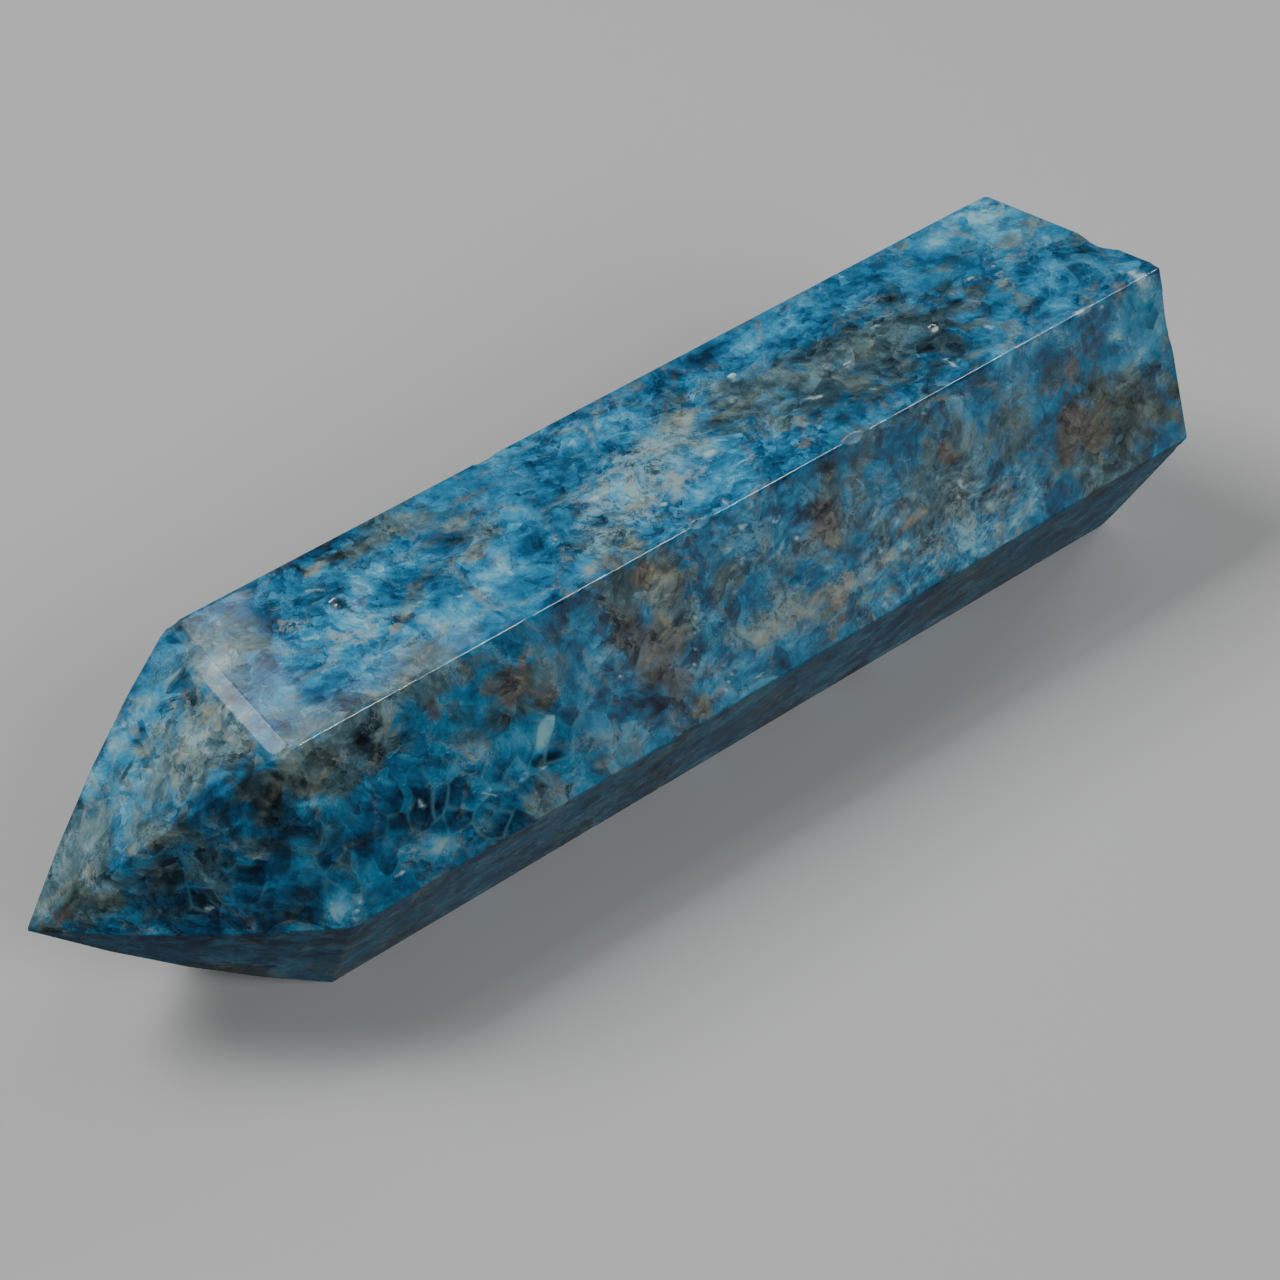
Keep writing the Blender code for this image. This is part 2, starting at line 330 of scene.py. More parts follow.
# %% The markings that the photograph shows
# Each is (x and y of its start, x and y of its end, width in mm, strength), with x and y in pixels.
# First come the kinds that tint the blue body.
TONES = {
    "blue": [
        (285, 690, 420, 570, 6.0, 0.9), (430, 630, 560, 560, 5.0, 0.9), (505, 548, 575, 520, 3.4, 1.0),
        (560, 450, 640, 400, 4.5, 0.8), (640, 398, 930, 248, 3.4, 0.9), (690, 505, 800, 440, 4.5, 0.8),
        (330, 900, 480, 790, 8.0, 0.9), (470, 790, 660, 700, 6.0, 0.9), (565, 720, 600, 650, 3.5, 1.0),
        (690, 690, 770, 655, 3.5, 0.8), (1060, 300, 1120, 265, 4.5, 0.9), (830, 590, 1010, 520, 4.5, 0.6),
        (870, 490, 920, 440, 4.0, 0.5), (100, 790, 150, 700, 3.0, 1.0), (1055, 515, 1080, 480, 2.4, 0.6),
        (1128, 350, 1148, 300, 3.0, 0.7), (230, 905, 310, 860, 4.0, 0.7), (590, 520, 640, 480, 3.0, 0.6),
    ],
    "bright": [
        (285, 665, 400, 590, 4.2, 0.9), (350, 590, 388, 572, 2.2, 1.0), (426, 508, 447, 502, 1.2, 0.8),
        (470, 590, 525, 568, 2.2, 1.0), (428, 620, 478, 606, 2.2, 1.0), (498, 522, 535, 512, 1.6, 0.8),
        (618, 497, 640, 486, 1.4, 1.0), (690, 500, 760, 462, 2.6, 0.4), (712, 362, 790, 320, 2.0, 0.8),
        (925, 247, 955, 230, 1.6, 0.9), (948, 220, 1010, 204, 1.7, 1.0), (1035, 290, 1055, 258, 1.8, 0.9),
        (1045, 315, 1085, 300, 1.8, 1.0), (985, 368, 1012, 350, 1.6, 0.8), (560, 440, 612, 415, 2.6, 0.7),
        (110, 760, 148, 692, 2.0, 1.0), (84, 800, 104, 765, 1.4, 1.0), (184, 738, 206, 727, 1.3, 0.6),
        (104, 850, 130, 832, 1.3, 0.7), (436, 846, 470, 838, 1.2, 0.9), (735, 672, 752, 655, 1.2, 0.8),
        (748, 688, 772, 670, 1.1, 0.8), (540, 735, 500, 745, 1.6, 0.7), (1010, 520, 1042, 492, 2.4, 1.0),
        (815, 580, 850, 565, 1.6, 0.8), (480, 445, 540, 425, 1.8, 0.5), (335, 918, 350, 895, 1.8, 0.7),
        (545, 620, 560, 612, 0.9, 0.5), (1130, 330, 1150, 300, 2.0, 0.7), (305, 804, 340, 800, 0.8, 0.6),
        (355, 785, 372, 772, 1.2, 0.6), (260, 895, 290, 880, 1.6, 0.5), (1000, 230, 1070, 240, 1.4, 0.5),
        (600, 560, 560, 580, 1.4, 0.5), (1125, 372, 1150, 285, 4.5, 0.9), (850, 580, 1030, 480, 6.0, 0.45),
        (840, 560, 1000, 460, 8.0, 0.35),
    ],
    "pale": [
        (185, 650, 262, 640, 4.5, 0.45), (60, 880, 215, 690, 9.0, 0.45), (130, 800, 240, 720, 5.0, 0.55),
        (40, 905, 110, 830, 3.0, 0.55), (941, 222, 1015, 210, 1.4, 0.9), (1014, 540, 1044, 490, 1.8, 0.6),
        # The mark (225, 700, 278, 748) on the next line is a painted highlight: the pale band along the
        # shoulder edge, where the shoulder light is also mirrored.
        (1035, 340, 1065, 330, 1.4, 0.7), (225, 700, 278, 748, 1.2, 0.9), (600, 530, 680, 440, 4.5, 0.5),
        (1108, 345, 1120, 320, 1.4, 0.7), (745, 640, 850, 590, 3.0, 0.5), (715, 560, 760, 530, 3.0, 0.4),
        (325, 905, 343, 925, 1.6, 0.8), (465, 762, 482, 740, 1.8, 0.6), (540, 740, 556, 715, 1.4, 0.8),
        (1160, 385, 1165, 375, 1.4, 0.6), (285, 770, 298, 750, 1.8, 0.4), (700, 660, 740, 690, 1.0, 0.6),
        (610, 755, 640, 735, 1.6, 0.4), (300, 712, 330, 706, 1.0, 0.6), (690, 455, 728, 440, 1.4, 0.7),
        (1024, 350, 1040, 340, 1.4, 0.6), (860, 600, 890, 585, 1.4, 0.4), (655, 600, 670, 580, 1.6, 0.5),
        (940, 560, 1000, 520, 2.4, 0.5),
    ],
    "dark": [
        (380, 612, 405, 572, 2.0, 0.9), (293, 604, 306, 600, 0.9, 0.6), (520, 552, 552, 535, 1.8, 0.7),
        (557, 550, 572, 544, 0.9, 0.7), (640, 392, 715, 352, 1.6, 0.8), (700, 360, 720, 345, 1.6, 0.9),
        (755, 352, 775, 338, 1.2, 0.8), (722, 388, 745, 380, 1.2, 0.7), (835, 403, 858, 393, 1.4, 1.0),
        (833, 424, 858, 412, 1.0, 0.9), (785, 365, 812, 352, 1.2, 0.7), (876, 268, 898, 258, 1.2, 0.8),
        (900, 357, 940, 343, 1.2, 1.0), (940, 308, 972, 294, 1.2, 1.0), (882, 328, 908, 314, 1.4, 0.7),
        (950, 262, 1080, 262, 4.0, 0.5), (760, 415, 1000, 300, 9.0, 0.45), (1070, 262, 1090, 248, 1.8, 0.6),
        (1082, 305, 1092, 292, 1.4, 0.7), (874, 398, 890, 388, 1.2, 0.6), (150, 870, 290, 800, 7.0, 0.8),
        (110, 915, 320, 860, 9.0, 0.7), (120, 915, 180, 890, 3.0, 0.7), (200, 830, 250, 815, 2.6, 0.7),
        (310, 915, 324, 900, 1.6, 0.9), (300, 824, 338, 816, 1.2, 0.6), (335, 866, 376, 856, 1.3, 0.8),
        (342, 848, 368, 838, 0.9, 0.7), (415, 815, 480, 795, 3.4, 0.8), (428, 812, 446, 800, 1.4, 0.9),
        (395, 885, 440, 868, 2.0, 0.6), (490, 840, 520, 820, 2.0, 0.6), (528, 766, 566, 755, 1.3, 1.0),
        (490, 776, 516, 762, 1.8, 0.6), (596, 705, 608, 672, 1.0, 0.8), (610, 712, 660, 700, 2.4, 0.8),
        (695, 680, 718, 672, 1.2, 1.0), (700, 605, 712, 585, 1.6, 0.8), (555, 615, 585, 600, 2.0, 0.7),
        (785, 520, 800, 500, 1.8, 0.4), (850, 556, 862, 546, 0.9, 0.8), (885, 466, 897, 448, 1.4, 0.6),
        (990, 478, 1005, 464, 1.4, 0.8), (946, 574, 960, 564, 0.9, 0.8), (970, 510, 992, 484, 0.9, 0.8),
        (1080, 450, 1170, 390, 6.0, 0.3), (1040, 470, 1080, 380, 3.5, 0.3),
        (1050, 510, 1080, 482, 2.6, 0.6), (1140, 385, 1160, 360, 2.2, 0.5), (850, 618, 860, 606, 1.4, 0.7),
        (1000, 420, 1020, 400, 1.4, 0.5), (488, 730, 496, 708, 1.0, 0.5), (600, 520, 614, 516, 0.9, 0.8),
        (400, 745, 420, 720, 2.0, 0.5), (640, 690, 668, 660, 2.0, 0.5), (700, 700, 690, 705, 0.6, 0.6),
        (925, 530, 935, 518, 0.8, 0.8),
    ],
    "grey": [
        (170, 645, 262, 640, 6.0, 0.8), (300, 900, 500, 780, 9.0, 0.35), (60, 880, 215, 690, 8.0, 0.5),
        (120, 905, 300, 830, 9.0, 0.5), (150, 800, 250, 700, 6.0, 0.8), (30, 915, 110, 820, 5.0, 1.0),
        (285, 780, 400, 735, 5.0, 0.9), (400, 690, 470, 660, 4.0, 0.8), (440, 570, 360, 660, 2.4, 0.7),
        (450, 560, 500, 515, 2.8, 0.7), (700, 430, 980, 300, 7.0, 0.75), (600, 540, 690, 400, 4.0, 0.5),
        (590, 610, 690, 570, 4.0, 0.9), (640, 690, 690, 600, 3.0, 0.9), (150, 850, 180, 830, 3.0, 0.7),
        (1060, 470, 1170, 380, 9.0, 1.0), (820, 570, 830, 480, 3.0, 0.8), (740, 640, 850, 590, 4.0, 0.7),
        (520, 700, 560, 670, 4.0, 0.7), (540, 820, 560, 780, 3.0, 0.8), (60, 920, 120, 890, 3.0, 1.0),
        (390, 850, 440, 820, 2.0, 0.6), (580, 760, 650, 730, 3.0, 0.5), (850, 500, 1030, 420, 5.0, 0.5),
        (310, 560, 460, 500, 3.0, 0.5), (850, 290, 1000, 240, 2.5, 0.4), (265, 880, 270, 780, 2.0, 0.8),
        (820, 560, 1040, 440, 10.0, 0.7), (700, 715, 705, 690, 2.0, 0.8), (715, 600, 740, 570, 2.4, 0.6),
        (1040, 380, 1110, 340, 3.0, 0.7),
    ],
    "cells": [
        (350, 850, 660, 720, 8.0, 1.0), (700, 690, 790, 640, 4.0, 1.0), (290, 830, 380, 900, 6.0, 0.6),
        (600, 690, 660, 650, 3.0, 0.8), (150, 900, 330, 880, 4.0, 0.5), (600, 520, 640, 480, 2.0, 0.4),
    ],
    # Where the painted shade of the feathers, lighter on one side and darker on the other, is strongest.
    "feather_shaded": [
        (850, 590, 1040, 480, 9.0, 1.0), (730, 560, 830, 500, 6.0, 0.7), (700, 680, 800, 620, 5.0, 0.6),
        (590, 500, 680, 440, 5.0, 0.7),
    ],
}
# Then come the kinds that lie over the body: other minerals, cracks and veils.
MARKS = {
    "olive": [
        (392, 636, 425, 572, 1.3, 0.9), (404, 610, 432, 560, 0.9, 0.7), (340, 552, 300, 580, 1.2, 0.8),
        (340, 552, 372, 545, 1.2, 0.7), (896, 252, 906, 243, 0.9, 0.9), (850, 355, 880, 345, 2.2, 0.7),
        (845, 390, 872, 378, 2.0, 0.8), (795, 340, 815, 332, 1.0, 0.6), (960, 330, 995, 312, 1.0, 0.8),
        (1000, 295, 1015, 278, 1.4, 0.7), (1022, 226, 1042, 220, 1.2, 0.8), (995, 250, 1012, 236, 1.6, 0.7),
        (300, 770, 340, 755, 3.2, 0.6), (280, 780, 300, 765, 2.4, 0.7), (470, 670, 482, 655, 1.8, 0.6),
        (730, 585, 742, 565, 1.6, 0.6), (820, 620, 835, 605, 1.8, 0.9), (925, 445, 930, 436, 1.1, 1.0),
        (1085, 430, 1150, 385, 4.6, 1.0), (1090, 440, 1172, 398, 5.0, 0.9),
        (1165, 420, 1180, 405, 2.0, 0.7), (70, 905, 84, 885, 2.2, 0.8), (104, 912, 114, 890, 1.8, 0.8),
        (230, 790, 244, 776, 1.6, 0.7), (262, 826, 264, 790, 0.7, 0.9), (148, 850, 168, 832, 2.6, 0.7),
        (405, 835, 428, 825, 1.8, 0.6), (690, 697, 708, 707, 0.4, 1.0), (138, 800, 142, 790, 1.2, 0.6),
        (860, 505, 868, 495, 1.6, 0.5), (700, 425, 760, 400, 1.2, 0.5), (880, 330, 960, 290, 0.8, 0.6),
        (740, 400, 830, 365, 0.7, 0.6), (54, 925, 44, 930, 1.0, 0.8), (455, 505, 500, 480, 1.0, 0.5),
        (395, 560, 440, 540, 0.9, 0.5), (600, 600, 625, 590, 1.6, 0.6),
    ],
    "umber": [
        (505, 700, 525, 665, 2.2, 0.8), (540, 700, 552, 686, 2.0, 0.7), (480, 696, 496, 682, 1.4, 0.9),
        (424, 724, 440, 706, 1.6, 0.7), (819, 490, 829, 556, 1.8, 0.8), (1058, 470, 1076, 400, 2.6, 1.0),
        (1070, 445, 1115, 400, 3.6, 0.7), (604, 606, 690, 700, 2.6, 0.9), (640, 625, 686, 655, 3.0, 0.7),
        (672, 680, 686, 712, 1.8, 0.9), (900, 510, 908, 498, 1.2, 0.7), (1172, 418, 1180, 412, 1.0, 0.6),
        (60, 922, 70, 912, 1.0, 1.0), (536, 800, 556, 775, 2.6, 0.6), (990, 492, 998, 482, 0.9, 0.6),
        (838, 625, 846, 614, 0.9, 0.7), (1115, 300, 1125, 284, 0.9, 0.8), (354, 736, 366, 744, 0.9, 0.6),
        (155, 850, 156, 838, 0.6, 0.9),
    ],
    "ink": [
        # The first three marks darken the small pit near the point end of the top facet, and the short lines
        # beside it.
        (334, 602, 346, 608, 0.8, 1.0), (328, 592, 334, 600, 0.25, 0.9), (346, 607, 365, 618, 0.25, 0.8),
        (505, 566, 582, 560, 0.30, 0.7), (368, 712, 384, 732, 0.9, 0.8), (352, 736, 396, 762, 1.0, 0.9),
        (504, 722, 512, 714, 0.9, 0.8), (270, 830, 275, 770, 0.9, 0.9), (250, 812, 262, 800, 1.0, 0.7),
        (120, 782, 133, 760, 0.45, 0.9), (196, 905, 206, 890, 1.2, 0.7), (44, 931, 76, 932, 0.7, 0.9),
        (104, 906, 112, 898, 0.9, 0.7), (530, 764, 560, 757, 0.9, 0.9), (232, 840, 240, 820, 1.2, 0.8),
        (683, 712, 686, 690, 0.5, 0.8), (435, 808, 440, 802, 0.7, 0.8), (920, 352, 934, 346, 0.6, 0.8),
        (948, 304, 964, 298, 0.6, 0.9), (390, 590, 398, 576, 0.9, 0.5), (838, 399, 852, 395, 0.7, 0.8),
        (697, 566, 692, 706, 0.3, 0.7), (657, 712, 664, 706, 0.5, 0.7), (976, 505, 990, 487, 0.3, 0.9),
    ],
    "rust": [
        (632, 582, 652, 568, 1.7, 0.9), (939, 460, 955, 446, 1.4, 1.0), (898, 534, 932, 504, 0.7, 0.9),
        (679, 551, 697, 566, 0.35, 1.0), (659, 614, 673, 630, 0.45, 1.0), (1058, 450, 1064, 400, 1.0, 0.4),
        (1068, 374, 1078, 358, 1.1, 1.0), (62, 920, 68, 914, 0.6, 0.9), (1112, 288, 1124, 282, 0.8, 0.8),
        (676, 650, 678, 690, 0.5, 0.6), (800, 422, 806, 444, 0.7, 0.5), (718, 698, 724, 682, 0.7, 0.6),
        (828, 610, 850, 600, 0.6, 0.6), (544, 700, 556, 694, 0.8, 0.5), (1174, 424, 1180, 418, 0.8, 0.5),
    ],
    "tan": [
        (322, 562, 304, 578, 0.9, 1.0), (318, 568, 324, 560, 0.5, 1.0), (446, 532, 466, 518, 1.4, 0.8),
        (464, 562, 486, 546, 1.4, 0.8), (488, 566, 506, 556, 0.9, 0.6), (392, 634, 412, 606, 0.6, 0.8),
        (586, 572, 624, 556, 1.4, 1.0), (620, 552, 640, 540, 1.2, 0.6), (646, 490, 662, 484, 1.0, 0.7),
        (676, 424, 694, 408, 1.4, 0.9), (630, 392, 640, 384, 0.9, 0.9), (655, 500, 690, 440, 0.8, 0.6),
        (796, 424, 806, 416, 0.9, 0.8), (800, 448, 812, 436, 0.8, 0.8), (824, 480, 836, 472, 0.7, 0.7),
        (770, 560, 778, 552, 0.6, 0.5), (770, 628, 800, 610, 1.8, 0.8), (800, 604, 850, 590, 1.6, 0.8),
        (834, 640, 826, 622, 0.5, 0.9), (902, 530, 934, 502, 0.5, 0.9), (872, 576, 894, 548, 0.6, 0.9),
        (922, 580, 932, 572, 0.8, 0.7), (695, 716, 712, 700, 1.5, 0.9), (716, 700, 724, 688, 0.8, 0.7),
        (1097, 466, 1106, 454, 0.9, 1.0), (1000, 286, 1010, 276, 0.6, 0.7), (470, 596, 476, 590, 0.6, 0.6),
        (205, 716, 232, 702, 1.4, 0.6), (196, 758, 204, 748, 1.0, 0.6), (1006, 330, 1016, 322, 1.2, 0.8),
        (480, 690, 492, 696, 0.4, 0.7), (520, 662, 532, 648, 0.8, 0.7), (594, 766, 610, 758, 1.0, 0.6),
        (1040, 400, 1060, 385, 1.2, 0.5), (530, 822, 540, 812, 0.6, 0.6), (1010, 504, 1020, 496, 0.4, 0.7),
        (640, 590, 692, 580, 2.8, 0.6), (655, 580, 680, 570, 1.8, 0.5), (56, 880, 70, 850, 2.4, 0.3),
    ],
    "cloud": [
        (595, 540, 690, 425, 5.6, 0.95), (590, 500, 650, 455, 3.0, 0.7), (275, 628, 316, 624, 1.3, 0.9),
        (326, 632, 372, 645, 1.4, 0.9), (420, 632, 472, 624, 1.0, 0.8), (384, 652, 428, 638, 1.3, 0.7),
        (700, 640, 720, 620, 2.0, 0.3), (738, 640, 810, 605, 3.4, 0.8), (730, 550, 770, 520, 2.6, 0.6),
        (832, 588, 872, 566, 1.8, 0.8), (130, 812, 116, 800, 1.6, 1.0), (80, 880, 94, 866, 1.5, 0.9),
        (165, 706, 180, 700, 0.8, 0.8), (180, 770, 205, 750, 2.4, 0.5), (580, 745, 655, 730, 2.6, 0.5),
        (690, 470, 716, 448, 1.4, 0.8), (300, 712, 330, 706, 0.9, 0.7), (1012, 350, 1040, 336, 1.4, 0.6),
        (900, 560, 1000, 500, 2.4, 0.45), (1012, 520, 1034, 500, 1.6, 0.5), (465, 775, 490, 750, 1.4, 0.6),
        (690, 640, 694, 580, 0.4, 0.8), (600, 650, 640, 640, 1.0, 0.4), (216, 626, 212, 612, 0.9, 0.8),
        (942, 222, 956, 232, 0.6, 0.9), (984, 195, 1020, 212, 0.6, 0.9), (1012, 222, 960, 230, 0.4, 0.6),
    ],
    "ice_and_pit_glint": [
        (298, 592, 327, 589, 0.35, 0.8), (316, 672, 332, 666, 0.9, 0.6), (278, 666, 286, 662, 0.6, 0.5),
        (302, 650, 312, 647, 0.5, 0.5), (340, 679, 366, 667, 0.3, 0.6), (364, 616, 368, 628, 0.4, 0.7),
        (275, 622, 292, 626, 0.6, 0.6), (450, 598, 466, 594, 0.4, 0.7), (482, 600, 496, 594, 0.5, 0.6),
        (436, 626, 468, 622, 0.4, 0.6), (551, 541, 560, 535, 0.5, 0.9), (590, 500, 600, 497, 0.6, 1.0),
        (656, 508, 668, 500, 0.5, 0.9), (708, 494, 730, 505, 0.3, 0.9), (700, 460, 716, 448, 0.5, 0.9),
        # The three marks on the next line are painted highlights: white put into three small pits on the top
        # facet.
        (728, 377, 736, 374, 0.4, 1.0), (869, 332, 877, 326, 0.45, 1.0), (931, 332, 937, 328, 0.4, 1.0),
        (808, 399, 820, 396, 0.3, 1.0), (791, 405, 798, 402, 0.3, 0.9), (872, 390, 876, 388, 0.2, 0.9),
        (936, 356, 962, 368, 0.5, 1.0), (932, 377, 942, 382, 0.3, 0.9), (964, 282, 972, 276, 0.4, 0.8),
        (990, 268, 1000, 265, 0.35, 0.8), (1083, 281, 1093, 275, 0.5, 0.9),
        (1098, 310, 1105, 304, 0.4, 0.9), (1075, 314, 1084, 310, 0.4, 0.9),
        (1136, 284, 1148, 272, 1.4, 1.0), (865, 302, 873, 298, 0.3, 0.7), (740, 536, 747, 520, 0.4, 0.9),
        (738, 572, 743, 556, 0.3, 0.8), (770, 535, 780, 512, 0.4, 0.8), (794, 543, 808, 520, 0.2, 0.9),
        (853, 551, 880, 502, 0.2, 0.9), (953, 532, 963, 470, 0.35, 0.9), (870, 578, 895, 548, 0.3, 0.8),
        (918, 420, 926, 408, 0.3, 0.5), (418, 806, 423, 803, 0.4, 1.0), (541, 770, 548, 765, 0.35, 1.0),
        (616, 680, 623, 674, 0.6, 0.8), (609, 625, 617, 620, 0.6, 0.8), (392, 884, 412, 858, 0.35, 0.7),
        (352, 926, 364, 886, 0.35, 0.7), (476, 791, 496, 795, 0.3, 0.8), (520, 785, 528, 765, 0.35, 0.7),
        (392, 852, 444, 850, 0.35, 0.6), (146, 932, 156, 928, 0.5, 0.8), (120, 926, 128, 920, 0.6, 0.6),
        (206, 910, 214, 904, 0.5, 0.5), (240, 930, 270, 926, 0.4, 0.6), (160, 708, 182, 700, 0.3, 0.8),
        (192, 672, 206, 660, 0.4, 0.6), (694, 680, 697, 572, 0.2, 0.8), (726, 690, 738, 655, 0.3, 0.7),
        # The mark (240, 696, 286, 744) on the next line is part of the same painted highlight along the
        # shoulder edge.
        (742, 690, 766, 670, 0.25, 0.7), (240, 696, 286, 744, 0.3, 0.5), (112, 725, 118, 721, 0.3, 0.9),
        (86, 780, 90, 774, 0.3, 0.8), (448, 860, 456, 850, 0.3, 0.7), (1000, 545, 1030, 528, 0.3, 0.7),
        (880, 620, 905, 608, 0.4, 0.5), (1110, 345, 1122, 310, 0.3, 0.6), (712, 545, 720, 520, 0.2, 0.6),
        (984, 195, 1000, 200, 0.5, 0.8),
    ],
}
kinds = {**TONES, **MARKS}
print(sum(len(marks) for marks in kinds.values()), "marks of", len(kinds), "kinds")

# %% [markdown]
# ## The sides that the photograph hides
# The hidden facets get marks of the same kinds and sizes, strewn with a seeded random generator so that
# each run gives the same stone. The streaks on the two facets that are seen run as if the stone were built
# of needles that all lie one way, so the strewn marks lie along those needles too.

# %% Strew marks over the hidden facets
NEEDLE = Vector((0.796, -0.048, 0.603))
# Each kind's number of marks, and their length and width in mm.
STREWN = {
    "blue": (14, 9.0, 5.0), "bright": (26, 4.0, 2.0), "pale": (20, 4.0, 2.2), "dark": (34, 3.4, 1.8),
    "grey": (20, 7.0, 4.0), "cells": (10, 12.0, 7.0), "feather_shaded": (8, 14.0, 8.0), "olive": (26, 3.6, 1.4),
    "umber": (14, 3.0, 1.6), "ink": (18, 2.4, 0.8), "rust": (12, 2.0, 0.9), "tan": (26, 2.4, 1.0),
    "cloud": (20, 4.0, 2.0), "ice_and_pit_glint": (50, 2.0, 0.45),
}
TURNED_AWAY = 0.02
BROAD_FACE = 5 * MM**2
SWAY = (-0.5, 0.5)
SIZES = (0.6, 1.5)
STRENGTHS = (0.6, 1.0)
BREADTHS = (0.7, 1.3)

chance = random.Random(20)
hidden = []
for face in solid.data.polygons:
    away = (face.center - CAMERA_AT).normalized().dot(face.normal) > TURNED_AWAY
    if away and face.area > BROAD_FACE:
        hidden.append(face)
weights = [face.area for face in hidden]


def on_face(face):
    """A random place in mm on a triangle."""
    a, b, c = (solid.data.vertices[index].co / MM for index in face.vertices[:3])
    u, v = sorted((chance.random(), chance.random()))
    return a * u + b * (v - u) + c * (1 - v)


strewn = []
for kind, (count, length, width) in STREWN.items():
    for _ in range(count):
        face = chance.choices(hidden, weights)[0]
        facing = face.normal.copy()
        along = (NEEDLE - facing * NEEDLE.dot(facing)).normalized()
        along = (along + facing.cross(along) * chance.uniform(*SWAY)).normalized()
        size = chance.uniform(*SIZES)
        strength = chance.uniform(*STRENGTHS)
        broad = width * size * chance.uniform(*BREADTHS)
        strewn.append((kind, on_face(face), facing, along, length * size, broad, strength))
print(len(strewn), "strewn marks on", len(hidden), "hidden faces")

# %% [markdown]
# ## Writing the marks into the mesh
# A material could hold an ellipsoid for every mark, but some seven hundred of them would make it slow. The
# cells of the mesh are smaller than the marks, so each kind becomes one number at every vertex, from 0
# outside its marks to its strength inside, with a ragged outline. The material turns the number into flakes
# and streaks.

# %% Give each vertex the strength of each kind
RAGGED = 0.60
RAGGED_PER_MM = 0.75
INWARD = 0.9
SHALLOWEST = 1.2
SOFTEST = 0.55
# The kinds that only tint the body become two fields: how light it is and how grey.
SHADE_OF = {"bright": 0.22, "pale": 0.26, "dark": -0.26}
GREYNESS_OF = {"grey": 0.60, "blue": -0.50, "bright": -0.30}

places = np.empty(len(mesh.vertices) * 3)
mesh.vertices.foreach_get("co", places)
places = places.reshape(-1, 3) / MM
ragged = np.array([noise.fractal(Vector(place) * RAGGED_PER_MM, 0.8, 2.0, 4) for place in places])


def seen_mark(kind, start_x, start_y, end_x, end_y, width, strength):
    """A mark that the photograph shows, in the form that the strewn marks have."""
    middle, facing = seen_at(((start_x + end_x) / 2, (start_y + end_y) / 2))
    along = seen_at((end_x, end_y))[0] - seen_at((start_x, start_y))[0]
    along -= facing * along.dot(facing)
    return kind, middle, facing, along.normalized(), max(along.length, width), width, strength


marks = [seen_mark(kind, *mark) for kind, several in kinds.items() for mark in several] + strewn
fields = {kind: np.zeros(len(places)) for kind in kinds}
for kind, middle, facing, along, length, width, strength in marks:
    across = facing.cross(along)
    away = places - np.array(middle)
    reach = np.sqrt(
        (away @ np.array(along) / (length / 2)) ** 2
        + (away @ np.array(across) / (width / 2)) ** 2
        + (away @ np.array(facing) / max(width * INWARD, SHALLOWEST)) ** 2
    )
    # The outline of a narrow mark is the softer one, for its size.
    soft = min(SOFTEST, 0.40 / width + 0.25)
    inside = np.clip((1 + soft + ragged * RAGGED - reach) / (2 * soft), 0, 1)
    fields[kind] = np.maximum(fields[kind], strength * inside * inside * (3 - 2 * inside))

for name, parts in (("shade", SHADE_OF), ("greyness", GREYNESS_OF)):
    fields[name] = sum(gain * fields[kind] for kind, gain in parts.items())
for kind in [*MARKS, "shade", "greyness", "cells", "feather_shaded"]:
    mesh.attributes.new(kind, "FLOAT", "POINT").data.foreach_set("value", fields[kind].astype(np.float32))
print({kind: round(float(field.mean()), 3) for kind, field in fields.items()})

# %% [markdown]
# ## Helpers for materials
# A node tree made in code is easier to read when each node takes one line. put() makes a node, sets its
# options, and fills its sockets: with a value, or with another node's output, which becomes a link.

# %% Make nodes in one line each


def put(tree, kind, sockets=None, **options):
    """A new node, with its options set and its sockets filled by name or number."""
    node = tree.nodes.new("ShaderNode" + kind)
    for name, value in options.items():
        setattr(node, name, value)
    for name, value in (sockets or {}).items():
        if isinstance(value, bpy.types.NodeSocket):
            tree.links.new(value, node.inputs[name])
        else:
            node.inputs[name].default_value = value
    return node


def maths(tree, operation, *values):
    return put(tree, "Math", dict(enumerate(values)), operation=operation).outputs[0]


def vectors(tree, operation, *values):
    return put(tree, "VectorMath", dict(enumerate(values)), operation=operation).outputs[0]


def mix_colours(tree, share, below, above):
    return put(tree, "Mix", {0: share, 6: below, 7: above}, data_type="RGBA").outputs[2]


def reach_along(tree, one, other):
    """How far one vector reaches along another."""
    return put(tree, "VectorMath", {0: one, 1: other}, operation="DOT_PRODUCT").outputs["Value"]


def between(tree, value, start, end, low=0.0, high=1.0):
    """Runs smoothly from low to high as the value goes from start to end."""
    sockets = {"Value": value, "From Min": start, "From Max": end, "To Min": low, "To Max": high}
    return put(tree, "MapRange", sockets, interpolation_type="SMOOTHSTEP").outputs[0]


def paint(red, green, blue):
    """A colour given as a screen shows it, from 0 to 255, in the linear values that nodes use."""
    return tuple((part / 255) ** 2.2 for part in (red, green, blue)) + (1.0,)


def new_group(name, inputs, outputs):
    """An empty shader node group. Inputs are {name: default} and outputs are {name: kind of socket}."""
    group = bpy.data.node_groups.new(name, "ShaderNodeTree")
    for label, default in inputs.items():
        kind = "NodeSocketVector" if default is None else "NodeSocketFloat"
        socket = group.interface.new_socket(label, in_out="INPUT", socket_type=kind)
        if default is not None:
            socket.default_value = default
    for label, kind in outputs.items():
        group.interface.new_socket(label, in_out="OUTPUT", socket_type=kind)
    return group, group.nodes.new("NodeGroupInput").outputs, group.nodes.new("NodeGroupOutput").inputs


def use_group(tree, group, **sockets):
    node = tree.nodes.new("ShaderNodeGroup")
    node.node_tree = group
    for label, value in sockets.items():
        label = label.replace("_", " ")
        if isinstance(value, bpy.types.NodeSocket):
            tree.links.new(value, node.inputs[label])
        else:
            node.inputs[label].default_value = value
    return node.outputs
